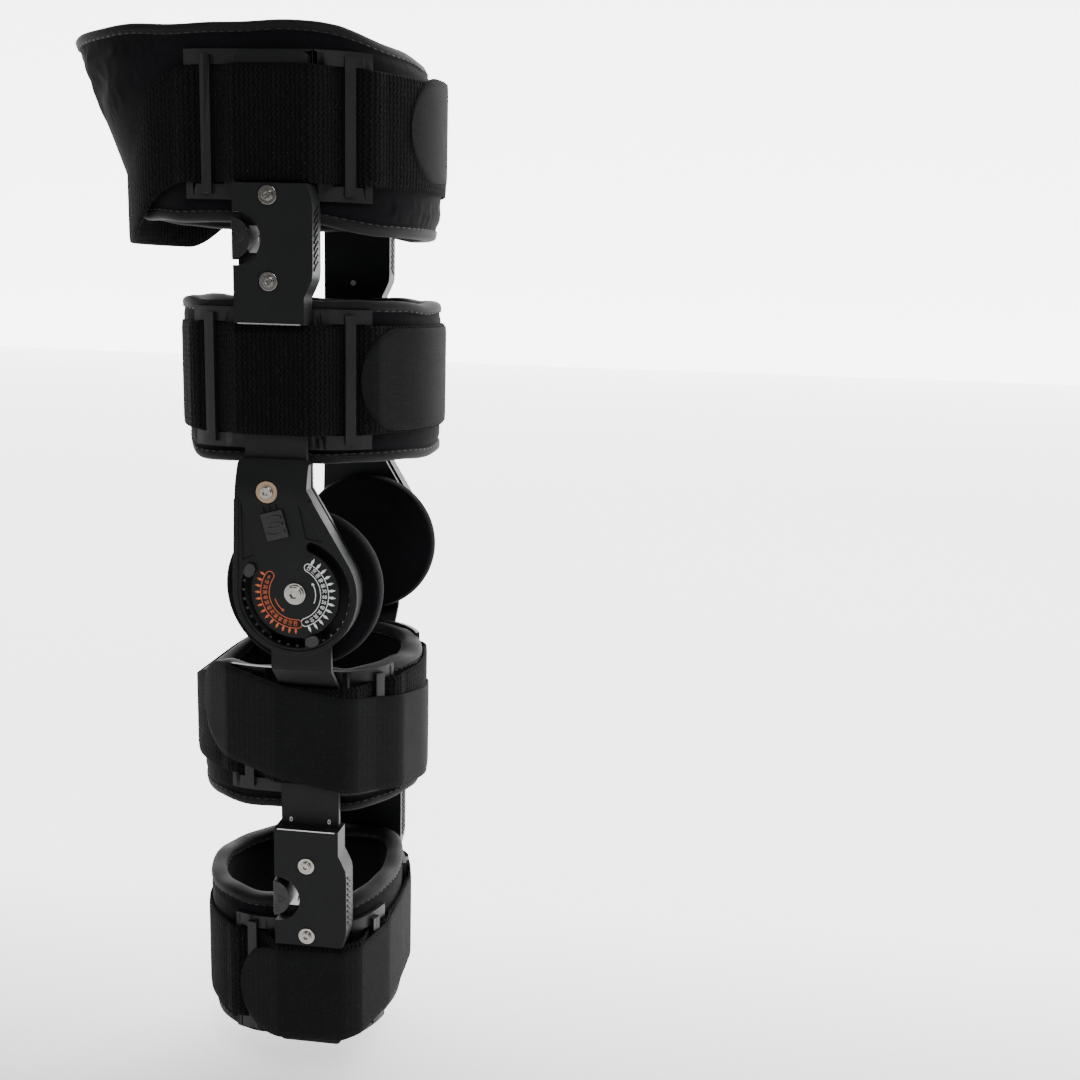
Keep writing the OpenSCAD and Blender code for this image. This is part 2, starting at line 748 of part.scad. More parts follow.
module strap(c) {
    t = cuff_table(c);
    stations = strap_stations(t);
    color(strap_black) difference() {
        translate([0, 0, c[2] - strap_w / 2]) linear_extrude(strap_w) difference() {
            polygon([for (s = stations) strap_point(c, t, s, strap_t)]);
            polygon([for (s = stations) strap_point(c, t, s, 0)]);
        }
        fold_wedge();
    }
}

// ---------- parts ----------

for (side = sides) {
    thigh_bar(side);
    calf_bar(side);
    hinge_cover(side);
    hinge_back_plate(side);
    stop_slider(side, flexion_start);
    stop_slider(side, extension_start);
    quick_lock(side);
    color(shell_black) on_side(side) at_upper() housing();
    color(shell_black) on_side(side) at_lower() housing();
    color(shell_black) on_side(side) at_upper() back_shell();
    color(shell_black) on_side(side) at_lower() back_shell();
    color(shell_black) on_side(side) at_upper() button();
    color(shell_black) on_side(side) at_lower() button();
    color(steel) on_side(side) at_upper() latch_plate();
    color(steel) on_side(side) at_lower() latch_plate();
    cuff_plate(CUFF_UPPER_THIGH, side);
    cuff_plate(CUFF_LOWER_THIGH, side);
    cuff_plate(CUFF_UPPER_CALF, side);
    cuff_plate(CUFF_LOWER_CALF, side);
}
stop_rings();
pivot_screws();
pivot_bushes();
neck_screws();
neck_washers();
condyle_pads();
color(steel) both_sides() rivets(CUFF_LOWER_THIGH, thigh_half, bar_t);  // thigh_rivets
color(steel) both_sides() rivets(CUFF_UPPER_CALF, calf_half, bar_t - head_gap);  // calf_rivets
color(steel) both_sides() at_upper() housing_screws();  // upper_screws
color(steel) both_sides() at_lower() housing_screws();  // lower_screws
color(steel) both_sides() at_upper() eyelets();  // upper_eyelets
color(steel) both_sides() at_lower() eyelets();  // lower_eyelets
color(steel) both_sides() at_upper() latch_spring();  // upper_latch_springs
color(steel) both_sides() at_lower() latch_spring();  // lower_latch_springs
cuff_pad(CUFF_UPPER_THIGH);  // upper_thigh_pad
cuff_pad(CUFF_LOWER_THIGH);  // lower_thigh_pad
cuff_pad(CUFF_UPPER_CALF);  // upper_calf_pad
cuff_pad(CUFF_LOWER_CALF);  // lower_calf_pad
strap(CUFF_UPPER_THIGH);  // upper_thigh_strap
strap(CUFF_LOWER_THIGH);  // lower_thigh_strap
strap(CUFF_UPPER_CALF);  // upper_calf_strap
strap(CUFF_LOWER_CALF);  // lower_calf_strap
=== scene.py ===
import math
import bmesh
import bpy
import numpy as np
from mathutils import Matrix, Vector


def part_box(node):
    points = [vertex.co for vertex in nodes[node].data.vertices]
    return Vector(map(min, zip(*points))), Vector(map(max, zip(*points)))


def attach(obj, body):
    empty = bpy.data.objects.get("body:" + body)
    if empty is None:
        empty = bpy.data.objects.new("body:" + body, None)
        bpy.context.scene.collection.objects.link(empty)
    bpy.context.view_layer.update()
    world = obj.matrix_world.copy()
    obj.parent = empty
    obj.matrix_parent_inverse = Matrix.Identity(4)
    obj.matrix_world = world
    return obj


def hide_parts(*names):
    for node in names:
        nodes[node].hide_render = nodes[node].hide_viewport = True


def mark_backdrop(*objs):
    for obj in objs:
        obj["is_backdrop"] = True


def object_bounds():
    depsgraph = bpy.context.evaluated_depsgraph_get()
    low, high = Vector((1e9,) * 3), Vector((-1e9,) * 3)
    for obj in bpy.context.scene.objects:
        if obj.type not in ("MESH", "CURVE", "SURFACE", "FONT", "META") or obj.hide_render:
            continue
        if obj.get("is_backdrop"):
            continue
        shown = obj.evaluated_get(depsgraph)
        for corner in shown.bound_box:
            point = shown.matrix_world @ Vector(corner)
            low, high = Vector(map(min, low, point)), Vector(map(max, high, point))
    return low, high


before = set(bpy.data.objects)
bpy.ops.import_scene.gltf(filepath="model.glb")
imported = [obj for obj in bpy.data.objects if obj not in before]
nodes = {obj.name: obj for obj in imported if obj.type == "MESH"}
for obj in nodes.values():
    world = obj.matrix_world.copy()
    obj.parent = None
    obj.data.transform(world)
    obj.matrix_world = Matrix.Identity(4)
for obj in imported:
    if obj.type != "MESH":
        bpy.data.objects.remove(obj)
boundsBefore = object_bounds()
print("stage: frame loaded")

mm = 0.001


def boxOf(name):
    lo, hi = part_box(name)
    return np.array(lo), np.array(hi)


def meshFrom(name, verts, faces, smooth=True, uv=None):
    mesh = bpy.data.meshes.new(name)
    points = [tuple(v) for v in np.asarray(verts, float)]
    mesh.from_pydata(points, [], [tuple(int(i) for i in face) for face in faces])
    mesh.validate()
    if uv is not None:
        layer = mesh.uv_layers.new(name="uv")
        loops = np.zeros(len(mesh.loops), int)
        mesh.loops.foreach_get("vertex_index", loops)
        layer.data.foreach_set("uv", np.asarray(uv, float)[loops].ravel())
    mesh.polygons.foreach_set("use_smooth", np.full(len(mesh.polygons), smooth))
    mesh.update()
    obj = bpy.data.objects.new(name, mesh)
    bpy.context.scene.collection.objects.link(obj)
    return obj


def gridFaces(nu, nv, closedU, closedV):
    # Quads of a grid whose vertex (i, j) has number i * nv + j.
    i = np.arange(nu if closedU else nu - 1)
    j = np.arange(nv if closedV else nv - 1)
    a, b = np.meshgrid(i, j, indexing="ij")
    c, d = (a + 1) % nu, (b + 1) % nv
    return np.stack([a * nv + b, c * nv + b, c * nv + d, a * nv + d], -1).reshape(-1, 4)


def faceOutward(obj):
    bm = bmesh.new()
    bm.from_mesh(obj.data)
    bmesh.ops.recalc_face_normals(bm, faces=bm.faces)
    bm.to_mesh(obj.data)
    bm.free()
    obj.data.update()
    return obj


def smoothStep(x, a, b):
    t = np.clip((x - a) / (b - a), 0, 1)
    return t * t * (3 - 2 * t)


def addModifier(obj, kind, **values):
    mod = obj.modifiers.new(kind.lower(), kind)
    for key, value in values.items():
        setattr(mod, key, value)
    return mod


def material(name, colour, rough, metal=0.0, build=None, specular=None, sheen=0.0):
    mat = bpy.data.materials.new(name)
    mat.use_nodes = True
    tree = mat.node_tree
    shader = tree.nodes["Principled BSDF"]
    shader.inputs["Base Color"].default_value = (*colour, 1)
    shader.inputs["Roughness"].default_value = rough
    shader.inputs["Metallic"].default_value = metal
    if specular is not None:
        shader.inputs["Specular IOR Level"].default_value = specular
    if sheen:
        shader.inputs["Sheen Weight"].default_value = sheen
        shader.inputs["Sheen Roughness"].default_value = 0.6
    if build:
        build(tree, shader)
    return mat


def node(tree, kind, inputs=None, **props):
    made = tree.nodes.new(kind)
    for key, value in props.items():
        setattr(made, key, value)
    for key, value in (inputs or {}).items():
        made.inputs[key].default_value = value
    return made


def noiseOf(tree, vector, scale, detail=3.0, rough=0.55):
    made = node(tree, "ShaderNodeTexNoise", {"Scale": scale, "Detail": detail, "Roughness": rough})
    tree.links.new(vector, made.inputs["Vector"])
    return made.outputs["Fac"]


def bumpInto(tree, shader, height, strength, distance):
    made = node(tree, "ShaderNodeBump", {"Strength": strength, "Distance": distance})
    tree.links.new(height, made.inputs["Height"])
    tree.links.new(made.outputs["Normal"], shader.inputs["Normal"])


def mathNode(tree, operation, a, b=None, c=None):
    made = node(tree, "ShaderNodeMath", operation=operation)
    for k, value in enumerate((a, b, c)):
        if value is None:
            continue
        if isinstance(value, (int, float)):
            made.inputs[k].default_value = value
        else:
            tree.links.new(value, made.inputs[k])
    return made.outputs[0]


def mixColour(tree, factor, low, high):
    made = node(tree, "ShaderNodeMix", data_type="RGBA")
    if isinstance(factor, (int, float)):
        made.inputs["Factor"].default_value = factor
    else:
        tree.links.new(factor, made.inputs["Factor"])
    made.inputs[6].default_value = (*low, 1)
    made.inputs[7].default_value = (*high, 1)
    return made.outputs[2]


def grained(low, high, scale, bump, roughLow, roughHigh):
    # Moulded plastic: fine grain, and broad faint patches of wear in the gloss.
    def build(tree, shader):
        where = node(tree, "ShaderNodeTexCoord").outputs["Object"]
        fine = noiseOf(tree, where, scale, 2.0)
        broad = noiseOf(tree, where, 45.0, 4.0)
        tree.links.new(mixColour(tree, broad, low, high), shader.inputs["Base Color"])
        spread = node(tree, "ShaderNodeMapRange", {"To Min": roughLow, "To Max": roughHigh})
        tree.links.new(broad, spread.inputs["Value"])
        tree.links.new(spread.outputs["Result"], shader.inputs["Roughness"])
        bumpInto(tree, shader, fine, bump, 0.0002)
    return build


def brushed(low, high, scale):
    def build(tree, shader):
        where = node(tree, "ShaderNodeTexCoord").outputs["Object"]
        fac = noiseOf(tree, where, scale, 4.0)
        tree.links.new(mixColour(tree, fac, low, high), shader.inputs["Base Color"])
        bumpInto(tree, shader, fac, 0.15, 0.0001)
    return build


def loopPile(tree, shader):
    # Loop fabric: columns along the strap's width, each a row of small zigzag loops.
    uv = node(tree, "ShaderNodeUVMap", uv_map="uv").outputs["UV"]
    parts = node(tree, "ShaderNodeSeparateXYZ")
    tree.links.new(uv, parts.inputs["Vector"])
    along, across = parts.outputs["X"], parts.outputs["Y"]
    wobble = noiseOf(tree, uv, 260.0, 3.0)
    column = mathNode(tree, "FRACT", mathNode(tree, "ADD", mathNode(tree, "MULTIPLY", along, 1 / 0.0021),
                                              mathNode(tree, "MULTIPLY", wobble, 0.8)))
    zig = mathNode(tree, "SINE", mathNode(tree, "MULTIPLY", across, 2 * math.pi / 0.0026))
    bent = mathNode(tree, "ADD", column, mathNode(tree, "MULTIPLY", zig, 0.16))
    ridge = mathNode(tree, "ABSOLUTE", mathNode(tree, "SUBTRACT", bent, 0.5))
    fuzz = noiseOf(tree, uv, 1500.0, 3.0)
    height = mathNode(tree, "ADD", mathNode(tree, "MULTIPLY", ridge, -1.6), fuzz)
    # The colour follows the pile's height: the dips between columns are darker, which is painted shade, and
    # the fuzz adds random tone.
    tree.links.new(mixColour(tree, mathNode(tree, "MULTIPLY", mathNode(tree, "ADD", height, 0.6), 0.9),
                             (0.0006, 0.0006, 0.0008), (0.0075, 0.0075, 0.0082)), shader.inputs["Base Color"])
    bumpInto(tree, shader, height, 0.9, 0.0009)


def hookTwill(tree, shader):
    # Fine zigzag twill of the hook tabs.
    uv = node(tree, "ShaderNodeUVMap", uv_map="uv").outputs["UV"]
    parts = node(tree, "ShaderNodeSeparateXYZ")
    tree.links.new(uv, parts.inputs["Vector"])
    along, across = parts.outputs["X"], parts.outputs["Y"]
    fold = mathNode(tree, "PINGPONG", along, 0.0016)
    slant = mathNode(tree, "ADD", across, fold)
    wave = mathNode(tree, "FRACT", mathNode(tree, "MULTIPLY", slant, 1 / 0.00115))
    rib = mathNode(tree, "PINGPONG", wave, 0.5)
    speck = noiseOf(tree, uv, 900.0, 3.0)
    broad = noiseOf(tree, uv, 40.0, 3.0)
    height = mathNode(tree, "ADD", rib, mathNode(tree, "MULTIPLY", speck, 0.4))
    # The tone follows the ribs' height, so the grooves are darker, which is painted shade; the broad noise
    # adds random tone.
    tone = mathNode(tree, "MULTIPLY", height, 0.75)
    tone = mathNode(tree, "ADD", tone, mathNode(tree, "MULTIPLY", broad, 0.3))
    colour = mixColour(tree, tone, (0.0035, 0.0037, 0.004), (0.0115, 0.012, 0.0125))
    tree.links.new(colour, shader.inputs["Base Color"])
    bumpInto(tree, shader, height, 0.6, 0.0005)


def neoprene(tree, shader):
    # Brushed knit over foam: a soft fine nap with broad faint creases.
    where = node(tree, "ShaderNodeTexCoord").outputs["Object"]
    nap = noiseOf(tree, where, 1400.0, 2.0)
    crease = noiseOf(tree, where, 60.0, 4.0, 0.6)
    # The colour follows the creases' height: their dips are darker, which is painted shade in the creases.
    colour = mixColour(tree, crease, (0.0016, 0.0016, 0.0024), (0.0042, 0.0042, 0.0055))
    tree.links.new(colour, shader.inputs["Base Color"])
    height = mathNode(tree, "ADD", mathNode(tree, "MULTIPLY", nap, 0.25), crease)
    bumpInto(tree, shader, height, 0.35, 0.0012)


looks = {
    "housing": material("housingPlastic", (0.0085, 0.009, 0.0095), 0.42, specular=0.16,
                        build=grained((0.007, 0.0074, 0.0078), (0.011, 0.0116, 0.012),
                                      2600.0, 0.1, 0.38, 0.5)),
    "button": material("buttonPlastic", (0.009, 0.009, 0.0095), 0.3, specular=0.5,
                       build=grained((0.007, 0.007, 0.0075), (0.012, 0.012, 0.0125),
                                     2200.0, 0.08, 0.22, 0.36)),
    "bar": material("anodisedBar", (0.013, 0.013, 0.0135), 0.5, 0.15, specular=0.2,
                    build=grained((0.0105, 0.0105, 0.011), (0.016, 0.016, 0.0165), 3200.0, 0.12, 0.46, 0.58)),
    "plate": material("cuffPlastic", (0.0085, 0.0085, 0.009), 0.42, specular=0.32,
                      build=grained((0.007, 0.007, 0.0075), (0.011, 0.011, 0.0115), 2000.0, 0.1, 0.36, 0.5)),
    "steel": material("brightSteel", (0.62, 0.6, 0.57), 0.2, 1.0,
                      build=brushed((0.3, 0.29, 0.27), (0.52, 0.5, 0.47), 700.0)),
    "spring": material("springSteel", (0.66, 0.66, 0.64), 0.28, 1.0,
                       build=brushed((0.56, 0.56, 0.54), (0.76, 0.76, 0.74), 500.0)),
    "tooth": material("toothSteel", (0.2, 0.2, 0.2), 0.4, 0.9,
                      build=brushed((0.14, 0.14, 0.14), (0.24, 0.24, 0.24), 500.0)),
    "tan": material("tanMetal", (0.42, 0.3, 0.2), 0.35, 0.75,
                    build=brushed((0.36, 0.25, 0.165), (0.48, 0.35, 0.24), 600.0)),
    "loop": material("loopPile", (0.004, 0.004, 0.005), 0.95, build=loopPile, specular=0.08),
    "tab": material("hookTwill", (0.014, 0.014, 0.014), 0.8, build=hookTwill, specular=0.08),
    "foam": material("neoprene", (0.003, 0.003, 0.004), 0.9, build=neoprene, specular=0.1,
                     sheen=0.01),
    "binding": material("bindingTape", (0.0045, 0.0045, 0.005), 0.7, specular=0.2,
                        build=grained((0.0035, 0.0035, 0.004), (0.007, 0.007, 0.0078),
                                      1800.0, 0.3, 0.6, 0.8)),
    "thread": material("thread", (0.012, 0.012, 0.013), 0.6,
                       build=grained((0.009, 0.009, 0.01), (0.018, 0.018, 0.019), 2500.0, 0.2, 0.5, 0.7)),
    "orange": material("orangePrint", (0.55, 0.11, 0.03), 0.55,
                       build=grained((0.5, 0.095, 0.025), (0.6, 0.125, 0.035), 2000.0, 0.05, 0.5, 0.6)),
    "white": material("whitePrint", (0.72, 0.73, 0.74), 0.5,
                      build=grained((0.66, 0.67, 0.68), (0.78, 0.79, 0.8), 2000.0, 0.05, 0.45, 0.55)),
}


def paint(obj, look):
    obj.data.materials.clear()
    obj.data.materials.append(looks[look])
    return obj


hardLooks = {
    "housing": ["hinge_cover", "hinge_back_plate", "upper_housing", "lower_housing",
                "upper_back_shell", "lower_back_shell"],
    "button": ["upper_button", "lower_button", "quick_lock", "flexion_stop", "extension_stop"],
    "bar": ["thigh_bar", "calf_bar"],
    "plate": ["upper_thigh_plate", "lower_thigh_plate", "upper_calf_plate", "lower_calf_plate"],
    "spring": ["upper_latch_plate", "lower_latch_plate"],
}
singleLooks = {
    "steel": ["pivot_screws", "neck_screws", "upper_screws", "lower_screws", "upper_eyelets", "lower_eyelets",
              "thigh_rivets", "calf_rivets"],
    "spring": ["upper_latch_springs", "lower_latch_springs"],
    "tooth": ["stop_rings"],
    "tan": ["neck_washers", "pivot_bushes"],
}
bevels = {"hinge_cover": 0.6, "housing": 0.6, "back_shell": 0.4, "plate": 0.5, "bar": 0.35, "button": 0.3,
          "quick_lock": 0.22, "stop": 0.45, "screws": 0.18, "eyelets": 0.2, "washers": 0.12, "rivets": 0.3,
          "latch_plate": 0.15, "back_plate": 0.4}


def restyle(name, look):
    obj = nodes[name]
    paint(obj, look)
    obj.data.polygons.foreach_set("use_smooth", np.ones(len(obj.data.polygons), bool))
    addModifier(obj, "WELD", merge_threshold=0.00001)
    if "spring" not in name:
        addModifier(obj, "DECIMATE", decimate_type="DISSOLVE", angle_limit=math.radians(0.6))
    width = next((bevels[key] for key in bevels if name.endswith(key)), 0)
    if width:
        addModifier(obj, "BEVEL", width=width * mm, segments=2, limit_method="ANGLE",
                    angle_limit=math.radians(32), use_clamp_overlap=True, harden_normals=False)
    if "spring" not in name:
        addModifier(obj, "WEIGHTED_NORMAL", keep_sharp=True, weight=80)


for look, names in hardLooks.items():
    for name in names:
        for side in ("lateral", "medial"):
            restyle(f"{side}_{name}", look)
for look, names in singleLooks.items():
    for name in names:
        restyle(name, look)
print("stage: hard parts")


cuffs = {
    "upper_thigh": {"body": "upper_thigh", "bar": -11, "flat": 26, "mid": 205, "over": 9.85,
                    "backAt": [(150, -85), (165, -93), (205, -110), (250, -129)],
                    "frontAt": [(150, 44), (182, 48), (222, 48), (250, 34)], "frontFrom": 26,
                    "dip": -26, "puff": 3.0},
    "lower_thigh": {"body": "thigh", "bar": -11, "flat": 22, "mid": 95.5, "over": 9.05,
                    "backAt": [(50, -68), (95, -71.5), (135, -74)],
                    "frontAt": [(50, 48.5), (135, 48.5)], "frontFrom": 30,
                    "dip": 0, "puff": 2.5},
    "upper_calf": {"body": "calf", "bar": 0, "flat": 24, "mid": -74, "over": 9.05,
                   "backAt": [(-120, -69), (-75, -72), (-40, -71)],
                   "frontAt": [(-120, 40.5), (-40, 40.5)], "frontFrom": 30,
                   "dip": 0, "puff": 2.5},
    "lower_calf": {"body": "lower_calf", "bar": 0, "flat": 24, "mid": -205, "over": 9.85,
                   "backAt": [(-240, -66), (-205, -67.5), (-160, -68.5)],
                   "frontAt": [(-240, 30), (-160, 30)], "frontFrom": 30,
                   "dip": 0, "puff": 2.5},
}


def outline(c):
    # Flat beside the bar, quarter ellipses in front and behind. Rows: arc length, x, y, normal x, normal y.
    lo, hi = boxOf(c["name"] + "_pad")
    c["low"], c["high"] = lo[2] / mm, hi[2] / mm
    c["back"], c["front"], c["half"] = lo[0] / mm, hi[0] / mm, hi[1] / mm
    f0, f1, b = c["bar"] - c["flat"], c["bar"] + 10, c["half"]
    front, back = c["front"] - f1, f0 - c["back"]
    rows = [(c["bar"], -b, 0, -1)]
    for cx, ax, start in ((f1, front, -90), (f0, back, 90)):
        if start == 90:
            rows.append((c["bar"], b, 0, 1))
        for a in np.radians(np.linspace(start, start + 180, 241)):
            n = np.array([b * math.cos(a), ax * math.sin(a)])
            n /= np.linalg.norm(n)
            rows.append((cx + ax * math.cos(a), b * math.sin(a), n[0], n[1]))
    rows.append(rows[0])
    rows = np.array(rows)
    step = np.hypot(*np.diff(rows[:, :2], axis=0).T)
    c["s"] = np.concatenate([[0], np.cumsum(step)]) + np.arange(len(rows)) * 1e-9
    c["rows"], c["total"] = rows, c["s"][-1]
    c["opposite"] = c["s"][242]


def warp(c, x, z):
    # Slants the back and the front of the cuff, clear of the plates.
    f0, f1 = c["bar"] - 44, c["bar"] + c["frontFrom"]
    back = np.interp(z, *np.array(c["backAt"]).T)
    front = np.interp(z, *np.array(c["frontAt"]).T)
    kb = (f0 - back) / (f0 - c["back"])
    kf = (front - f1) / (c["front"] - f1) if c["front"] > f1 + 1 else 1
    return np.where(x < f0, f0 + (x - f0) * kb, np.where(x > f1, f1 + (x - f1) * kf, x))


def onOutline(c, s, d):
    # Point at distance s round the cuff and d out from the pad's face, before the slant of warp.
    x, y, nx, ny = (np.interp(np.mod(s, c["total"]), c["s"], c["rows"][:, k]) for k in range(4))
    return x + d * nx, y + d * ny


def place(c, s, d, z):
    # As onOutline, slanted and at height z; millimetres in, metres out.
    x, y = onOutline(c, s, d)
    return np.stack(np.broadcast_arrays(warp(c, x, z), y, z), -1) * mm


def fromBar(c, s):
    # Distance along the cuff from the nearer bar, signed: positive towards the front.
    s = np.mod(s, c["total"])
    lateral = np.where(s > c["total"] / 2 + c["opposite"] / 2, s - c["total"], s)
    medial = c["opposite"] - s
    return np.where(np.abs(lateral) < np.abs(medial), lateral, medial)


for key, c in cuffs.items():
    c["name"] = key
    c["piece"] = key.split("_")[0] + key.split("_")[1].title()
    outline(c)


def foldLimit(c, x, edge):
    # Height that keeps a cuff out of the wedge behind the knee.
    back = np.maximum(-x, 0)
    if c["name"] == "lower_thigh":
        return np.maximum(edge, back * math.tan(math.radians(43.2)) + 1.2)
    if c["name"] == "upper_calf":
        return np.minimum(edge, -back * math.tan(math.radians(38.6)) - 1.2)
    return edge


def softLimit(c, x, edge):
    # foldLimit with its corner rounded.
    shifts = np.linspace(-7, 7, 7)
    spare = {"lower_thigh": 0.9, "upper_calf": -0.9}.get(c["name"], 0)
    return np.mean([foldLimit(c, x + k, edge) for k in shifts], axis=0) + spare


def stripHeights(c, s):
    # Middle height of the strap round the cuff.
    away = np.abs(fromBar(c, s))
    behind = fromBar(c, s) < 0
    dip = np.where(behind, c["dip"] * smoothStep(away, 40, 105), 0)
    return c["mid"] + dip


def padSurface(c):
    nu, across, edge = 264, 34, 7
    thick = 8.0
    s = np.arange(nu) * c["total"] / nu
    x0 = place(c, s, 0, c["mid"])[:, 0] / mm
    waves = ((0.5, 3, 0.4), (0.35, 7, 2.1), (0.25, 13, 1.0))
    ripple = sum(a * np.sin(s * k * 2 * math.pi / c["total"] + p) for a, k, p in waves)
    low = c["low"] + 0.6 + ripple * 0.8
    high = c["high"] - 0.6 + ripple
    if c["name"] == "upper_thigh":
        high = high - 6.0 * smoothStep(x0, 5, 44) - 2.0 * smoothStep(-x0, 80, 120)
        low = low + 1.0 - 5.0 * smoothStep(x0, 0, 35) + 1.5 * smoothStep(-x0, 60, 130)
        low = np.maximum(low, c["low"] - 3)
    low = softLimit(c, x0, low) if c["name"] == "lower_thigh" else low
    high = softLimit(c, x0, high) if c["name"] == "upper_calf" else high
    # Profile: outer face up, round top edge, inner face down, round bottom edge.
    t = np.linspace(0, 1, across)
    r = thick / 2
    a = np.linspace(0, math.pi, edge + 2)[1:-1]
    zOut = np.concatenate([t, np.full(edge, 1.0), t[::-1], np.full(edge, 0.0)])
    lift = np.concatenate([np.zeros(across), r * np.sin(a) * 0.9, np.zeros(across), -r * np.sin(a) * 0.9])
    dep = np.concatenate([np.zeros(across), -r + r * np.cos(a), np.full(across, -thick), -r - r * np.cos(a)])
    nv = len(zOut)
    z = low[:, None] + r * 0.9 + (high - low - 2 * r * 0.9)[:, None] * zOut + lift
    face = np.concatenate([np.ones(across), np.zeros(edge), -np.ones(across), np.zeros(edge)])
    fromEdge = np.minimum(z - low[:, None], high[:, None] - z)
    # The seam: a groove 5.5 mm in from each edge, on both faces.
    groove = 0.9 * np.exp(-((fromEdge - 5.6) / 0.8) ** 2)
    d = dep + 0 * z - groove * face
    far = smoothStep(np.abs(fromBar(c, s)), 42, 60)[:, None]
    strapMid = stripHeights(c, s)[:, None]
    clear = smoothStep(np.abs(z - strapMid), 25, 36) * far * smoothStep(fromEdge, 3, 12)
    free = clear * (face > 0)
    points = place(c, np.repeat(s, nv), d.ravel(), z.ravel())
    uvs = np.stack([np.repeat(s, nv) * mm, z.ravel() * mm], -1)
    return points, gridFaces(nu, nv, True, True), uvs, free.ravel(), (s, low, high)


def puffed(obj, free, amount):
    # Cloth under pressure: the free parts of the pad swell, the rest is held; the swelling is capped.
    rest = np.zeros(len(obj.data.vertices) * 3)
    obj.data.vertices.foreach_get("co", rest)
    rest = rest.reshape(-1, 3)
    normals = np.zeros(len(rest) * 3)
    obj.data.vertices.foreach_get("normal", normals)
    normals = normals.reshape(-1, 3)
    group = obj.vertex_groups.new(name="held")
    weights = np.clip(1 - free, 0, 1)
    for level in np.linspace(0, 1, 21):
        chosen = np.nonzero(np.round(weights * 20) == round(level * 20))[0]
        if len(chosen):
            group.add([int(i) for i in chosen], float(level), "REPLACE")
    cloth = obj.modifiers.new("cloth", "CLOTH")
    settings = cloth.settings
    settings.quality = 6
    settings.mass = 0.25
    settings.tension_stiffness = 18
    settings.compression_stiffness = 12
    settings.shear_stiffness = 8
    settings.bending_stiffness = 0.6
    settings.vertex_group_mass = "held"
    settings.pin_stiffness = 1.0
    settings.use_pressure = True
    settings.uniform_pressure_force = 4.0
    settings.shrink_min = -0.03
    settings.effector_weights.gravity = 0
    cloth.collision_settings.use_collision = False
    cloth.point_cache.frame_start = 1
    cloth.point_cache.frame_end = 20
    for f in range(1, 21):
        bpy.context.scene.frame_set(f)
    deps = bpy.context.evaluated_depsgraph_get()
    done = obj.evaluated_get(deps).to_mesh()
    moved = np.zeros(len(rest) * 3)
    done.vertices.foreach_get("co", moved)
    obj.evaluated_get(deps).to_mesh_clear()
    obj.modifiers.remove(cloth)
    bpy.context.scene.frame_set(1)
    shift = moved.reshape(-1, 3) - rest
    out = (shift * normals).sum(1)
    along = shift - out[:, None] * normals
    limit = free * amount * mm
    out = np.clip(out, -0.4 * mm * free, None)
    out = limit * np.tanh(np.clip(out, -0.4 * mm, 1) / np.maximum(limit, 1e-6))
    size = np.linalg.norm(along, axis=1)
    along *= np.minimum(1, 0.8 * mm / np.maximum(size, 1e-9))[:, None] * free[:, None]
    new = rest + normals * np.where(limit > 1e-6, out, 0)[:, None] + along
    obj.data.vertices.foreach_set("co", new.ravel())
    obj.data.update()
    print("  pad swelled by up to", round(float(out.max() / mm), 2), "mm")


def stitchRow(path, normal, length, gap, thick):
    # Short raised threads along a path; each is a small pointed bead.
    step = np.linalg.norm(np.diff(path, axis=0, append=path[:1]), axis=1)
    dist = np.concatenate([[0], np.cumsum(step)])
    loop = np.vstack([path, path[:1]])
    nor = np.vstack([normal, normal[:1]])
    verts, faces = [], []
    for k in range(int(dist[-1] / (length + gap))):
        a, b = k * (length + gap), k * (length + gap) + length
        ends = [np.array([np.interp(v, dist, loop[:, j]) for j in range(3)]) for v in (a, (a + b) / 2, b)]
        n = np.array([np.interp((a + b) / 2, dist, nor[:, j]) for j in range(3)])
        n /= np.linalg.norm(n)
        along = ends[2] - ends[0]
        along /= np.linalg.norm(along)
        side = np.cross(n, along)
        base = len(verts)
        for p, w in zip(ends, (0.35, 1, 0.35)):
            for q in ((side, 1), (n, 1), (-side, 1), (-n, 1)):
                verts.append(p + n * thick * 0.35 + q[0] * thick * w)
        for r in range(2):
            for q in range(4):
                low, high, then = base + r * 4, base + (r + 1) * 4, (q + 1) % 4
                faces.append((low + q, low + then, high + then, high + q))
        faces.append((base + 3, base + 2, base + 1, base))
        faces.append((base + 8, base + 9, base + 10, base + 11))
    return np.array(verts), faces


def joinParts(name, parts):
    verts, faces, base = [], [], 0
    for v, f in parts:
        verts.append(np.asarray(v))
        faces.extend([tuple(int(i) + base for i in face) for face in f])
        base += len(v)
    return meshFrom(name, np.vstack(verts), faces)


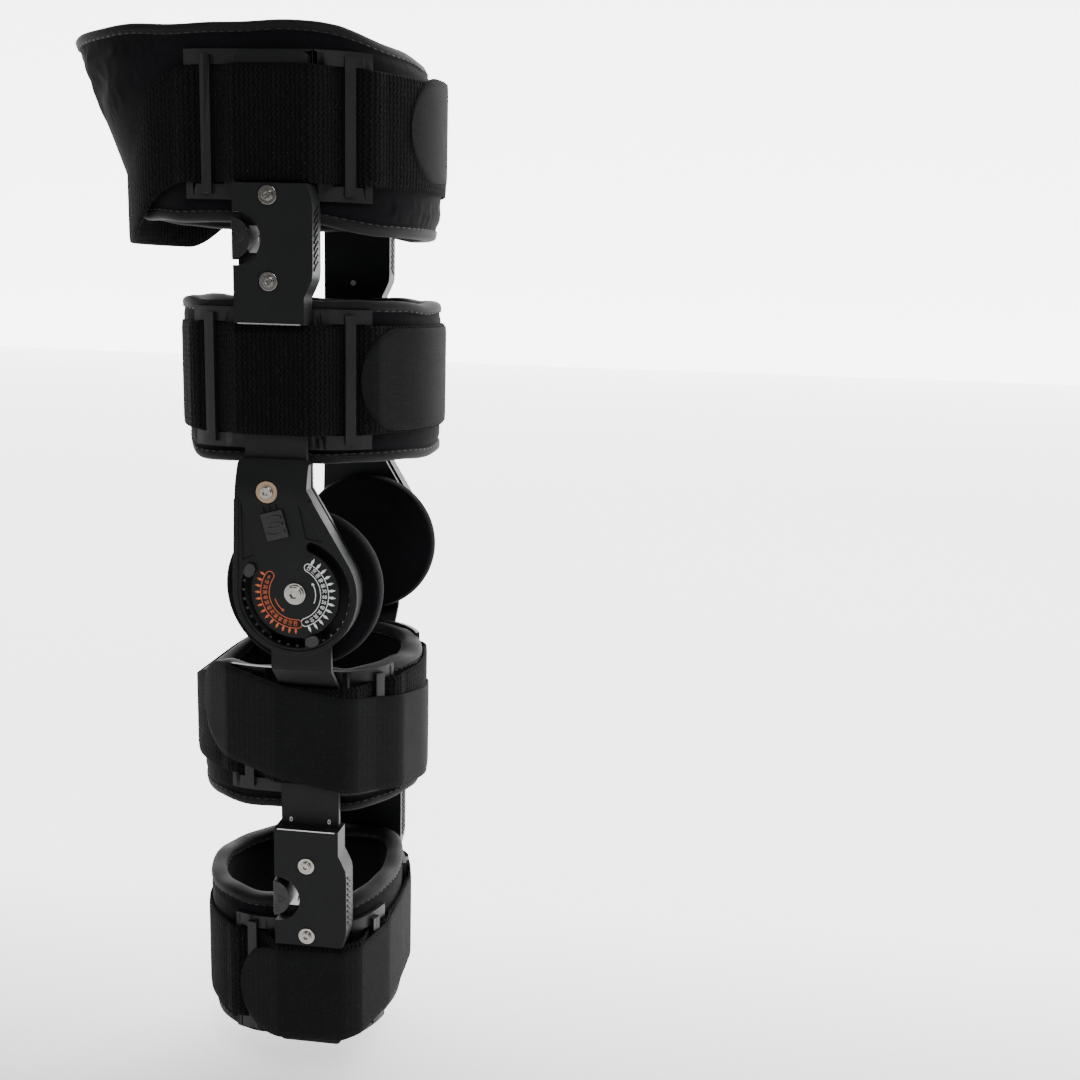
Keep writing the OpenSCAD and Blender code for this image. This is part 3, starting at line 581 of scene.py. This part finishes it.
for key, c in cuffs.items():
    verts, faces, uvs, free, (s, low, high) = padSurface(c)
    pad = faceOutward(meshFrom(c["piece"] + "PadVisual", verts, faces, uv=uvs))
    puffed(pad, free, c["puff"])
    paint(pad, "foam")
    addModifier(pad, "SUBSURF", levels=1, render_levels=1)
    # Binding tape over both edges and the stitches that hold it.
    parts, threads = [], []
    for edgeZ, sign in ((low, 1), (high, -1)):
        n = 360
        around = np.linspace(0, c["total"], n, endpoint=False)
        z = np.interp(around, np.append(s, c["total"]), np.append(edgeZ, edgeZ[0])) + sign * 2.6
        a = np.linspace(0, 2 * math.pi, 14, endpoint=False)
        d = -4 + 4.35 * np.sign(np.cos(a)) * np.abs(np.cos(a)) ** 0.7
        h = 3.0 * np.sign(np.sin(a)) * np.abs(np.sin(a)) ** 0.8
        tape = place(c, np.repeat(around, 14), np.tile(d, n), (z[:, None] + h).ravel())
        parts.append((tape, gridFaces(n, 14, True, True)))
        for face, depth in ((1, 0.05), (-1, -8.05)):
            path = place(c, around, depth, z + sign * 1.6)
            out = place(c, around, depth + face, z + sign * 1.6) - path
            out /= np.linalg.norm(out, axis=1)[:, None]
            threads.append(stitchRow(path, out, 0.0026, 0.0014, 0.00032))
    tape = faceOutward(joinParts(c["piece"] + "Binding", parts))
    paint(tape, "binding")
    stitches = faceOutward(joinParts(c["piece"] + "Stitches", threads))
    paint(stitches, "thread")
    c["made"] = [pad, tape, stitches]
    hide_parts(key + "_pad")
    for obj in c["made"]:
        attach(obj, c["body"])
print("stage: pads")


def strapPath(c, samples):
    # Height of the strap's inner face over the pad, by distance from the bar, eased between stations.
    over = c["over"]
    d = np.abs(fromBar(c, samples))
    keys = [0, 15.5, 17.3, 23.4, 25.6, 28.4, 33.6, 35.6, 38.0, 42.2, 47.5, 60]
    lifts = [over, over, over - 0.8, 3.3, 2.0, 0.3, 0.3, 1.2, 2.7, 2.6, 0.8, 0.35]
    return np.interp(d, keys, lifts)


def strapPoints(c, s, up):
    # Level over the bar or housing, and following the outline elsewhere.
    lift = strapPath(c, s) + up
    near = fromBar(c, s)
    flat = np.abs(near) < 17.3
    x, y, nx, ny = (np.interp(np.mod(s, c["total"]), c["s"], c["rows"][:, k]) for k in range(4))
    px, py = x + lift * nx, y + lift * ny
    px = np.where(flat, c["bar"] + near, px)
    py = np.where(flat, np.sign(y) * (c["half"] + lift), py)
    return px, py


def hullPath(px, py):
    # The outside of a set of points, as a taut band would lie.
    pts = sorted(set(zip(np.round(px, 4), np.round(py, 4))))
    half = []
    for order in (pts, pts[::-1]):
        chain = []
        for p in order:
            while len(chain) > 1 and ((chain[-1][0] - chain[-2][0]) * (p[1] - chain[-2][1])
                                      - (chain[-1][1] - chain[-2][1]) * (p[0] - chain[-2][0])) <= 0:
                chain.pop()
            chain.append(p)
        half += chain[:-1]
    return np.array(half)


def ribbon(name, path, mids, width, thick, closed, roundEnd=False):
    # A band with rounded edges; path is its inner line in x and y, mids the height of its middle.
    path = np.asarray(path)
    n = len(path)
    if closed:
        ahead = np.roll(path, -1, 0) - np.roll(path, 1, 0)
    else:
        ahead = np.gradient(path, axis=0)
    ahead /= np.linalg.norm(ahead, axis=1)[:, None]
    out = np.stack([ahead[:, 1], -ahead[:, 0]], -1)
    step = np.linalg.norm(np.diff(path, axis=0), axis=1)
    dist = np.concatenate([[0], np.cumsum(step)])
    wide = np.full(n, width / 2)
    if roundEnd:
        r = width / 2
        toEnd = np.clip(dist[-1] - dist, 0, r)
        # A round end with a flatter tip, like a tongue.
        wide = r * np.clip(1 - (1 - toEnd / r) ** 2.4, 0.0004, 1) ** 0.5
    across = 15
    v = np.linspace(-1, 1, across)
    e = thick / 2
    zRow = np.concatenate([v, [1], v[::-1], [-1]])
    dRow = np.concatenate([np.full(across, thick), [e], np.zeros(across), [e]])
    over = np.concatenate([np.zeros(across), [0.55 * e], np.zeros(across), [-0.55 * e]])
    dRow[0] = dRow[across - 1] = thick * 0.86
    dRow[across + 1] = dRow[2 * across] = thick * 0.14
    nv = len(zRow)
    z = mids[:, None] + zRow * wide[:, None] + over
    x = path[:, 0][:, None] + dRow * out[:, 0][:, None]
    y = path[:, 1][:, None] + dRow * out[:, 1][:, None]
    verts = np.stack([x, y, z], -1).reshape(-1, 3) * mm
    faces = gridFaces(n, nv, closed, True).tolist()
    if not closed:
        faces.append(list(range(nv))[::-1])
        faces.append([(n - 1) * nv + k for k in range(nv)])
    uv = np.stack([np.repeat(dist, nv) * mm, (z - mids[:, None]).ravel() * mm], -1)
    return faceOutward(meshFrom(name, verts, faces, uv=uv))


def smoothed(a):
    # Each value eased towards its neighbours round the loop.
    return (np.roll(a, 1) + 2 * a + np.roll(a, -1)) / 4


def warped(c, px, py, z):
    return np.stack([warp(c, px, z), py], -1)


tabs = {
    "upper_thigh": {"end": 70, "start": 160, "width": 46, "slope": 0.05, "drop": 0},
    "lower_thigh": {"end": 41, "start": 170, "width": 46, "slope": 0.0, "drop": 0},
    "upper_calf": {"end": -68, "start": 130, "width": 47, "slope": -0.16, "drop": 4},
    "lower_calf": {"end": -40, "start": 120, "width": 47, "slope": 0.04, "drop": 2.5},
}
strapThick, strapWide, tabThick = 2.0, 48, 1.5
for key, c in cuffs.items():
    n = 520
    s = np.linspace(0, c["total"], n, endpoint=False)
    mids = stripHeights(c, s)
    px, py = strapPoints(c, s, 0)
    sway = 0.35 * np.sin(s / 9.0) * smoothStep(np.abs(fromBar(c, s)), 48, 70)
    nx = np.interp(s, c["s"], c["rows"][:, 2])
    ny = np.interp(s, c["s"], c["rows"][:, 3])
    px, py = smoothed(px + sway * 0.5 * nx), smoothed(py + sway * 0.5 * ny)
    path = warped(c, px, py, mids)
    run = np.stack([np.roll(px, -1) - np.roll(px, 1), np.roll(py, -1) - np.roll(py, 1)], -1)
    run /= np.linalg.norm(run, axis=1)[:, None]
    band = ribbon(c["piece"] + "StrapVisual", path, mids, strapWide, strapThick, True)
    # Behind the knee the straps give way to the fold.
    co = np.zeros(len(band.data.vertices) * 3)
    band.data.vertices.foreach_get("co", co)
    co = co.reshape(-1, 3)
    if key in ("lower_thigh", "upper_calf"):
        x, z = co[:, 0] / mm, co[:, 2] / mm
        co[:, 2] = softLimit(c, x, z) * mm
        moved = np.abs(co[:, 2] / mm - z) < 0.95
        co[moved, 2] = z[moved] * mm
        band.data.vertices.foreach_set("co", co.ravel())
        band.data.update()
    paint(band, "loop")
    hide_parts(key + "_strap")
    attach(band, c["body"])
    # Hook tab: a taut band over the strap, the posts and the bar.
    tab = tabs[key]
    obstacles = [(px + (strapThick + 0.4) * run[:, 1], py - (strapThick + 0.4) * run[:, 0])]
    for side in (-1, 1):
        for at in (28.4, 31.0, 33.6):
            for base in (0, c["opposite"]):
                obstacles.append(onOutline(c, np.array([base + side * at]), 5.0))
    ox, oy = np.concatenate([o[0] for o in obstacles]), np.concatenate([o[1] for o in obstacles])
    hull = hullPath(ox, oy)
    hull = np.vstack([hull, hull[:1]])
    length = np.concatenate([[0], np.cumsum(np.linalg.norm(np.diff(hull, axis=0), axis=1))])
    # Distance zero is beside the lateral bar; the hull runs anticlockwise seen from above, as s does.
    dense = np.linspace(0, length[-1], 2000, endpoint=False)
    hx, hy = np.interp(dense, length, hull[:, 0]), np.interp(dense, length, hull[:, 1])
    zero = int(np.argmin(np.abs(hx - c["bar"]) + np.where(hy > 0, 1000, 0)))
    hx, hy = np.roll(hx, -zero), np.roll(hy, -zero)
    # Closer stations towards the round end.
    ease = np.linspace(0, 1, 150)
    pick = tab["start"] + (tab["end"] - tab["start"]) * (1 - (1 - ease) ** 1.8)
    index = np.mod(pick / length[-1] * 2000, 2000)
    ring = np.arange(2001)
    tx = np.interp(index, ring, np.append(hx, hx[0]))
    ty = np.interp(index, ring, np.append(hy, hy[0]))
    tabMids = c["mid"] - tab["drop"] + tab["slope"] * (pick - 20)
    tabPath = warped(c, tx, ty, tabMids)
    tongue = ribbon(c["piece"] + "HookTab", tabPath, tabMids, tab["width"], tabThick, False, roundEnd=True)
    paint(tongue, "tab")
    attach(tongue, c["body"])
print("stage: straps")


condyle = {"inner": 51.5, "thick": 10.0, "flat": 35.2, "edge": 2.2, "seam": 31.5, "at": -1}


def condylePads():
    inner, flat, edge, thick = (condyle[k] for k in ("inner", "flat", "edge", "thick"))
    rings, spokes = 16, 96
    parts = []
    for side in (-1, 1):
        verts, faces = [], []
        # Profile from the middle of the outer face round the edge to the middle of the inner face.
        profile = []
        for k in range(rings):
            t = k / (rings - 1)
            profile.append((flat * t, thick))
        for a in np.linspace(90, -90, 9)[1:-1]:
            turn = math.radians(a)
            profile.append((flat + edge * math.cos(turn), thick / 2 * (1 + math.sin(turn))))
        for k in range(rings):
            t = 1 - k / (rings - 1)
            puff = 2.4 * (1 - t ** 3)
            profile.append((flat * t, -puff * (1 if t < 0.96 else 0) * 0.5))
        r, h = np.array(profile).T
        groove = 0.7 * np.exp(-((r - condyle["seam"]) / 0.8) ** 2)
        row = np.arange(len(r))
        h = np.where(row < rings, h - groove, np.where(row >= rings + 7, h + groove, h))
        a = np.linspace(0, 2 * math.pi, spokes, endpoint=False)
        wob = 1 + 0.004 * np.sin(3 * a + side)
        x = condyle["at"] + np.maximum(r, 0.01)[None, :] * (np.cos(a) * wob)[:, None]
        z = condyle["at"] + np.maximum(r, 0.01)[None, :] * (np.sin(a) * wob)[:, None]
        y = side * (inner + h)[None, :] + 0 * x
        verts = np.stack([x, y, z], -1).reshape(-1, 3) * mm
        faces = gridFaces(spokes, len(r), True, False).tolist()
        parts.append((verts, faces))
    obj = joinParts("condylePadVisual", parts)
    bm = bmesh.new()
    bm.from_mesh(obj.data)
    bmesh.ops.remove_doubles(bm, verts=bm.verts, dist=0.00004)
    bmesh.ops.recalc_face_normals(bm, faces=bm.faces)
    bm.to_mesh(obj.data)
    bm.free()
    obj.data.polygons.foreach_set("use_smooth", np.ones(len(obj.data.polygons), bool))
    paint(obj, "foam")
    addModifier(obj, "SUBSURF", levels=1, render_levels=1)
    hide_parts("condyle_pads")
    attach(obj, "thigh")


condylePads()
print("stage: condyle pads")


dial = {"face": 75.05, "line": 0.34,
        "flexion": {"band": (11.9, 16.2), "ends": (146, 275), "marks": (150, 271),
                    "tip": 19.0, "look": "orange"},
        "extension": {"band": (11.9, 15.9), "ends": (-70, 63), "marks": (-67, 61),
                      "tip": 19.2, "look": "white"}}


def flatMesh(name, polys, side, level, look, body):
    # Thin raised print: polygons in x and z, in millimetres.
    verts, faces = [], []
    sign = -1 if side == "lateral" else 1
    for poly in polys:
        base = len(verts)
        n = len(poly)
        for lift in (0.0, 0.06):
            for x, z in poly:
                verts.append((x * mm, sign * (level + lift) * mm, z * mm))
        faces.append([base + n + k for k in range(n)])
        faces.append([base + k for k in range(n)][::-1])
        for k in range(n):
            faces.append([base + k, base + (k + 1) % n, base + n + (k + 1) % n, base + n + k])
    obj = faceOutward(meshFrom(name, verts, faces, smooth=False))
    paint(obj, look)
    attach(obj, body)
    return obj


def glyphPolys(text, size):
    # Triangles of a number, centred, in the plane of the text.
    curve = bpy.data.curves.new("glyph", "FONT")
    curve.body = text
    curve.size = size
    curve.align_x = "CENTER"
    curve.align_y = "CENTER"
    curve.resolution_u = 3
    curve.offset = 0.03
    obj = bpy.data.objects.new("glyph", curve)
    bpy.context.scene.collection.objects.link(obj)
    deps = bpy.context.evaluated_depsgraph_get()
    mesh = bpy.data.meshes.new_from_object(obj.evaluated_get(deps))
    co = [v.co.copy() for v in mesh.vertices]
    polys = [[(co[i].x, co[i].y) for i in p.vertices] for p in mesh.polygons]
    bpy.data.objects.remove(obj)
    bpy.data.curves.remove(curve)
    bpy.data.meshes.remove(mesh)
    return polys


def arcStrip(r0, r1, a0, a1, n):
    polys = []
    for k in range(n):
        b0, b1 = np.radians([a0 + (a1 - a0) * k / n, a0 + (a1 - a0) * (k + 1) / n])
        polys.append([(r0 * math.cos(b0), r0 * math.sin(b0)), (r1 * math.cos(b0), r1 * math.sin(b0)),
                      (r1 * math.cos(b1), r1 * math.sin(b1)), (r0 * math.cos(b1), r0 * math.sin(b1))])
    return polys


def dialPrint(side):
    for kind in ("flexion", "extension"):
        d = dial[kind]
        r0, r1 = d["band"]
        a0, a1 = d["ends"]
        w = dial["line"]
        polys = arcStrip(r0, r0 + w, a0, a1, 40) + arcStrip(r1 - w, r1, a0, a1, 40)
        mid, half = (r0 + r1) / 2, (r1 - r0) / 2
        for a, turn in ((a0, -1), (a1, 1)):
            # Round ends of the band.
            c = np.array([mid * math.cos(math.radians(a)), mid * math.sin(math.radians(a))])
            for k in range(10):
                quad = []
                for kk, rad in ((k, half), (k + 1, half), (k + 1, half - w), (k, half - w)):
                    t = math.radians(a + turn * 180 * kk / 10)
                    quad.append((c[0] + rad * math.cos(t), c[1] + rad * math.sin(t)))
                polys.append(quad)
        b0, b1 = d["marks"]
        for k in range(13):
            a = b0 + (b1 - b0) * k / 12
            ra = math.radians(a)
            out, tan = np.array([math.cos(ra), math.sin(ra)]), np.array([-math.sin(ra), math.cos(ra)])
            span = d["tip"] - r1
            waist = r1 + span * 0.45
            shape = [(-0.28, r1 - 0.1), (0.28, r1 - 0.1), (0.62, waist), (0.0, d["tip"]), (-0.62, waist)]
            polys.append([tuple(out * v + tan * u) for u, v in shape])
            text = str(k * 10)
            right = out if kind == "extension" else -out
            up = np.array([-right[1], right[0]])
            if side == "medial":
                right = -right
            place2 = out * mid
            wide = 1.0 if len(text) < 3 else 0.8
            for poly in glyphPolys(text, 2.35):
                polys.append([tuple(place2 + right * u * wide * 0.92 + up * v) for u, v in poly])
        # A plain curved arrow inside each scale, showing the way the joint turns.
        sweep = (196, 232) if kind == "flexion" else (-24, 28)
        polys += arcStrip(9.5, 9.9, *sweep, 14)
        root, tip = math.radians(sweep[1]), math.radians(sweep[1] + 7)
        head = ((8.9, root), (10.5, root), (9.7, tip))
        polys.append([(rad * math.cos(t), rad * math.sin(t)) for rad, t in head])
        name = f"{side}{kind.title()}Print"
        flatMesh(name, polys, side, dial["face"], d["look"], "thigh")


for side in ("lateral", "medial"):
    dialPrint(side)
print("stage: prints")


def mouthTrim(side, upper):
    # Bright line across the bar at a housing's mouth, and the two small numbers beside it.
    sign = 1 if upper else -1
    bar, level = (-11, 67.03) if upper else (0, 54.9)
    mouth, halfWide, halfLine = 120, 14.2, 0.25
    body = "thigh" if upper else "calf"
    polys = []
    zero = glyphPolys("0", 3.4)
    for x in (-9.5, 9.5):
        for poly in zero:
            flip = -1 if side == "medial" else 1
            polys.append([(bar + x + flip * u, sign * (mouth - 2.1) + v) for u, v in poly])
    flatMesh(f"{side}{'Upper' if upper else 'Lower'}Numbers", polys, side, level, "white", body)
    lineZ = sign * (mouth + halfLine)
    corners = ((-halfWide, -halfLine), (halfWide, -halfLine), (halfWide, halfLine), (-halfWide, halfLine))
    trim = [[(bar + x, lineZ + z) for x, z in corners]]
    faceLevel = 74.03 if upper else 62.03
    flatMesh(f"{side}{'Upper' if upper else 'Lower'}Trim", trim, side, faceLevel, "spring",
             "upper_thigh" if upper else "lower_calf")


for side in ("lateral", "medial"):
    mouthTrim(side, True)
    mouthTrim(side, False)


def buildStage():
    size, depth = 6.0, -0.262
    corners = [(-size, -size, depth), (size, -size, depth), (size, size, depth), (-size, size, depth)]
    floor = meshFrom("studioFloor", corners, [(0, 1, 2, 3)], smooth=False)
    mat = bpy.data.materials.new("paleFloor")
    mat.use_nodes = True
    shader = mat.node_tree.nodes["Principled BSDF"]
    shader.inputs["Base Color"].default_value = (0.9, 0.9, 0.9, 1)
    shader.inputs["Roughness"].default_value = 0.9
    shader.inputs["Emission Color"].default_value = (1, 1, 1, 1)
    # The floor glows behind the brace only, so that the front stays dark and shaded.
    where = node(mat.node_tree, "ShaderNodeTexCoord").outputs["Object"]
    parts = node(mat.node_tree, "ShaderNodeSeparateXYZ")
    mat.node_tree.links.new(where, parts.inputs["Vector"])
    span = {"From Min": -0.12, "From Max": 0.16, "To Min": 0.02, "To Max": 2.6}
    ramp = node(mat.node_tree, "ShaderNodeMapRange", span)
    mat.node_tree.links.new(parts.outputs["Y"], ramp.inputs["Value"])
    mat.node_tree.links.new(ramp.outputs["Result"], shader.inputs["Emission Strength"])
    floor.data.materials.append(mat)
    floor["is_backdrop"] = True
    world = bpy.data.worlds.new("studio")
    world.use_nodes = True
    world.node_tree.nodes["Background"].inputs["Color"].default_value = (1, 1, 1, 1)
    world.node_tree.nodes["Background"].inputs["Strength"].default_value = 0.13
    bpy.context.scene.world = world
    # A pale wall behind, bright in itself, as a lit studio wall is.
    corners = [(-16, 5.9, -1), (16, 5.9, -1), (16, 5.9, 9), (-16, 5.9, 9)]
    wall = meshFrom("studioWall", corners, [(0, 1, 2, 3)], smooth=False)
    glow = bpy.data.materials.new("paleWall")
    glow.use_nodes = True
    shine = glow.node_tree.nodes["Principled BSDF"]
    shine.inputs["Base Color"].default_value = (0.9, 0.9, 0.9, 1)
    shine.inputs["Emission Color"].default_value = (1, 1, 1, 1)
    shine.inputs["Emission Strength"].default_value = 4.5
    wall.data.materials.append(glow)
    wall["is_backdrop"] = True
    lights = {
        "keyLight": {"at": (0.55, -1.2, 1.2), "power": 13, "size": 0.6},
        "fillLight": {"at": (-1.2, -1.0, 0.5), "power": 2.5, "size": 1.0},
        "rimLight": {"at": (0.6, 1.2, 0.9), "power": 5, "size": 0.8},
    }
    made = []
    for name, spec in lights.items():
        data = bpy.data.lights.new(name, "AREA")
        data.energy = spec["power"]
        data.size = spec["size"]
        light = bpy.data.objects.new(name, data)
        light.location = spec["at"]
        light.rotation_euler = (Vector((0, 0, 0)) - Vector(spec["at"])).to_track_quat("-Z", "Y").to_euler()
        bpy.context.scene.collection.objects.link(light)
        made.append(light)
    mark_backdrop(*made)


def placeCamera():
    # In front of the lateral side and above it, looking slightly down.
    spec = {"at": (181.6, -628.8, 140.6), "yaw": 7.25, "pitch": 11.13, "roll": 1.60, "lens": 43.33}
    yaw, pitch, roll = (math.radians(spec[k]) for k in ("yaw", "pitch", "roll"))
    forward = Vector((-math.sin(yaw) * math.cos(pitch), math.cos(yaw) * math.cos(pitch), -math.sin(pitch)))
    right = Vector((math.cos(yaw), math.sin(yaw), 0))
    up = right.cross(forward)
    right2 = right * math.cos(roll) + up * math.sin(roll)
    up2 = up * math.cos(roll) - right * math.sin(roll)
    data = bpy.data.cameras.new("mainCamera")
    data.lens = spec["lens"]
    data.sensor_width = 36
    data.clip_start = 0.01
    data.clip_end = 50
    camera = bpy.data.objects.new("mainCamera", data)
    matrix = camera.matrix_world.copy()
    for row in range(3):
        matrix[row][0], matrix[row][1], matrix[row][2] = right2[row], up2[row], -forward[row]
        matrix[row][3] = spec["at"][row] * mm
    camera.matrix_world = matrix
    bpy.context.scene.collection.objects.link(camera)
    bpy.context.scene.camera = camera


buildStage()
placeCamera()
print("stage: light and camera")

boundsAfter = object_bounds()


def plainNumbers(value):
    if isinstance(value, dict):
        return {k: plainNumbers(v) for k, v in value.items()}
    return [plainNumbers(v) for v in value] if hasattr(value, "__len__") else float(value)


{"before": plainNumbers(boundsBefore), "after": plainNumbers(boundsAfter)}
